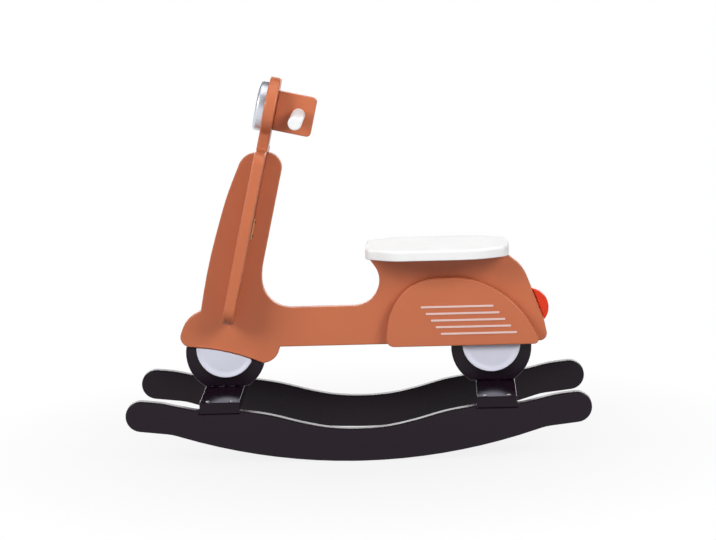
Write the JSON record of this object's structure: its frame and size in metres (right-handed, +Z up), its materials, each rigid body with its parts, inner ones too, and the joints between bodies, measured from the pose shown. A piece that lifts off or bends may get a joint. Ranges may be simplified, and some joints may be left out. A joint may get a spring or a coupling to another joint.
{
  "type": "rocking scooter toy",
  "caption": "Child's ride-on rocker built from flat boards in the shape of a motor scooter, with a seat, a cross handle bar and a foot board, on rockers joined by cross plates.",
  "frame": {"origin": "on the floor, midway between the rocker tips and midway between the two rockers", "axes": "-X to the front of the scooter, -Y to the rider's left, +Z up"},
  "size_m": [0.75, 0.28, 0.6108],
  "materials": {
    "terracotta_lacquer": "satin terracotta lacquer on board",
    "black_lacquer": "satin black lacquer on board",
    "white_lacquer": "satin white lacquer on board and turned wood",
    "red_lacquer": "gloss red lacquer on board",
    "silver_paint": "silver metallic paint on wood",
    "zinc_steel": "zinc-plated steel",
    "dark_steel": "browned steel",
    "beech": "bare beech dowel"
  },
  "bodies": {
    "root": {"body_panel": "terracotta_lacquer", "front_cross_plate": "black_lacquer", "front_hub_left": "white_lacquer", "front_hub_right": "white_lacquer", "front_plate_screw_1": "zinc_steel", "front_plate_screw_2": "zinc_steel", "front_plate_screw_3": "zinc_steel", "front_plate_screw_4": "zinc_steel", "front_wheel": "black_lacquer", "front_wheel_bolt_aft": "zinc_steel", "front_wheel_bolt_fore": "zinc_steel", "front_wheel_dowel_aft": "beech", "front_wheel_dowel_fore": "beech", "handle_bar": "white_lacquer", "handle_plate": "terracotta_lacquer", "handle_screw_lower": "zinc_steel", "handle_screw_upper": "zinc_steel", "headlight": "silver_paint", "headlight_dowel": "beech", "rear_cross_plate": "black_lacquer", "rear_hub_left": "white_lacquer", "rear_hub_right": "white_lacquer", "rear_plate_screw_1": "zinc_steel", "rear_plate_screw_2": "zinc_steel", "rear_plate_screw_3": "zinc_steel", "rear_plate_screw_4": "zinc_steel", "rear_wheel": "black_lacquer", "rear_wheel_bolt_aft": "zinc_steel", "rear_wheel_bolt_fore": "zinc_steel", "rear_wheel_dowel_aft": "beech", "rear_wheel_dowel_fore": "beech", "rocker_left": "black_lacquer", "rocker_right": "black_lacquer", "seat": "white_lacquer", "seat_screw_front": "white_lacquer", "seat_screw_rear": "white_lacquer", "side_dowel_front": "beech", "side_dowel_rear": "beech", "side_panel_left": "terracotta_lacquer", "side_panel_right": "terracotta_lacquer", "steering_board": "terracotta_lacquer", "stripe_left_1": "silver_paint", "stripe_left_2": "silver_paint", "stripe_left_3": "silver_paint", "stripe_left_4": "silver_paint", "stripe_left_5": "silver_paint", "stripe_right_1": "silver_paint", "stripe_right_2": "silver_paint", "stripe_right_3": "silver_paint", "stripe_right_4": "silver_paint", "stripe_right_5": "silver_paint", "tail_light": "red_lacquer", "tail_light_dowel": "beech", "tie_plate_left": "zinc_steel", "tie_plate_right": "zinc_steel", "tie_screw_left_lower": "dark_steel", "tie_screw_left_upper": "dark_steel", "tie_screw_right_lower": "dark_steel", "tie_screw_right_upper": "dark_steel"}
  },
  "joints": []
}
